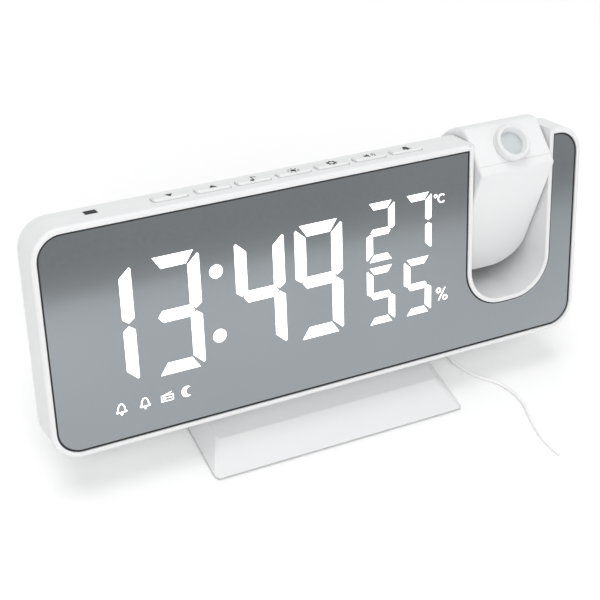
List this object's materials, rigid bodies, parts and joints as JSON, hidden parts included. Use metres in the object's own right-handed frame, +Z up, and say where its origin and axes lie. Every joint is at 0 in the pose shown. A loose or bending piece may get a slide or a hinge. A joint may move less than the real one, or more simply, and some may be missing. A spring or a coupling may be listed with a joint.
{
  "type": "projection alarm clock",
  "caption": "Mirror-faced projection alarm clock leaning back on a low foot, with a tilting ceiling projector in a pocket, top buttons and a wire aerial.",
  "frame": {"origin": "centre of the non-slip pad's underside, on the table", "axes": "+X to the right along the mirror's width, +Y away from the viewer, +Z up"},
  "size_m": [0.188, 0.0914, 0.0844],
  "materials": {
    "white_abs": "fine satin moulded ABS, bright white",
    "button_abs": "satin white moulded ABS with grey printed symbols",
    "mirror": "smoke-tinted half-mirror acrylic, polished",
    "black_abs": "matt black moulded plastic",
    "diffuser": "milky light-diffusing acrylic",
    "led": "white lamp chip with pale yellow phosphor",
    "circuit_board": "green solder resist on glass-fibre board",
    "foam_tape": "black adhesive foam",
    "steel": "bright plated steel",
    "paper_cone": "black pressed paper",
    "sensor_plastic": "dark tinted epoxy",
    "nylon": "natural nylon",
    "optical_glass": "clear polished optics",
    "rubber": "soft matt rubber",
    "wire_jacket": "thin white PVC insulation"
  },
  "bodies": {
    "clock": {"front_housing": "white_abs", "rear_cover": "white_abs", "projector_cradle": "white_abs", "mirror_panel": "mirror", "panel_tape": "foam_tape", "light_mask": "black_abs", "display_diffusers": "diffuser", "display_board": "circuit_board", "display_leds": "led", "button_board": "circuit_board", "button_board_screws": "steel", "button_switches": "black_abs", "sensor_window": "black_abs", "light_sensor": "sensor_plastic", "case_screws": "steel", "main_board": "circuit_board", "main_board_chips": "black_abs", "main_board_screws": "steel", "speaker": "black_abs", "speaker_cone": "paper_cone", "sensor_board": "circuit_board", "cell_well": "black_abs", "coin_cell": "steel", "cell_contact": "steel", "usb_socket": "steel", "power_socket": "steel", "pivot_washers": "nylon", "stand_foot": "white_abs", "foot_plate": "white_abs", "rubber_pad": "rubber", "stand_weight": "steel", "stand_screws": "steel", "aerial_grommet": "rubber", "wire_aerial": "wire_jacket"},
    "projector_head": {"projector_front": "white_abs", "projector_body": "white_abs", "pivot_pins": "steel", "optics_tube": "black_abs", "projector_slide": "optical_glass", "condenser_lens": "optical_glass", "projector_lamp": "led", "projector_board": "circuit_board"},
    "focus_ring_body": {"focus_ring": "white_abs", "projector_lens": "optical_glass", "ring_retainer": "steel"},
    "battery_cap_body": {"battery_cap": "white_abs"},
    "button_down_body": {"button_down": "button_abs"},
    "button_up_body": {"button_up": "button_abs"},
    "button_radio_body": {"button_radio": "button_abs"},
    "button_light_body": {"button_light": "button_abs"},
    "button_set_body": {"button_set": "button_abs"},
    "button_volume_body": {"button_volume": "button_abs"},
    "button_alarm_body": {"button_alarm": "button_abs"}
  },
  "joints": [
    {"name": "projector_tilt", "type": "hinge", "parent": "clock", "child": "projector_head", "pos_m": [0.06635, 0.01222, 0.06324], "axis": [1, 0, 0], "range_deg": [-85, 18]},
    {"name": "focus_turn", "type": "hinge", "parent": "projector_head", "child": "focus_ring_body", "pos_m": [0.06635, 0.01324, 0.07916], "axis": [0, -0.4772, 0.8788], "range_deg": [-90, 90]},
    {"name": "battery_cap_turn", "type": "hinge", "parent": "clock", "child": "battery_cap_body", "pos_m": [-0.014, 0.02532, 0.03648], "axis": [0, 0.9304, -0.3665], "range_deg": [0, 45]},
    {"name": "button_down_press", "type": "slide", "parent": "clock", "child": "button_down_body", "axis": [0, -0.3665, -0.9304], "range_m": [0, 0.0006], "stiffness_N_per_m": 1000},
    {"name": "button_up_press", "type": "slide", "parent": "clock", "child": "button_up_body", "axis": [0, -0.3665, -0.9304], "range_m": [0, 0.0006], "stiffness_N_per_m": 1000},
    {"name": "button_radio_press", "type": "slide", "parent": "clock", "child": "button_radio_body", "axis": [0, -0.3665, -0.9304], "range_m": [0, 0.0006], "stiffness_N_per_m": 1000},
    {"name": "button_light_press", "type": "slide", "parent": "clock", "child": "button_light_body", "axis": [0, -0.3665, -0.9304], "range_m": [0, 0.0006], "stiffness_N_per_m": 1000},
    {"name": "button_set_press", "type": "slide", "parent": "clock", "child": "button_set_body", "axis": [0, -0.3665, -0.9304], "range_m": [0, 0.0006], "stiffness_N_per_m": 1000},
    {"name": "button_volume_press", "type": "slide", "parent": "clock", "child": "button_volume_body", "axis": [0, -0.3665, -0.9304], "range_m": [0, 0.0006], "stiffness_N_per_m": 1000},
    {"name": "button_alarm_press", "type": "slide", "parent": "clock", "child": "button_alarm_body", "axis": [0, -0.3665, -0.9304], "range_m": [0, 0.0006], "stiffness_N_per_m": 1000}
  ]
}
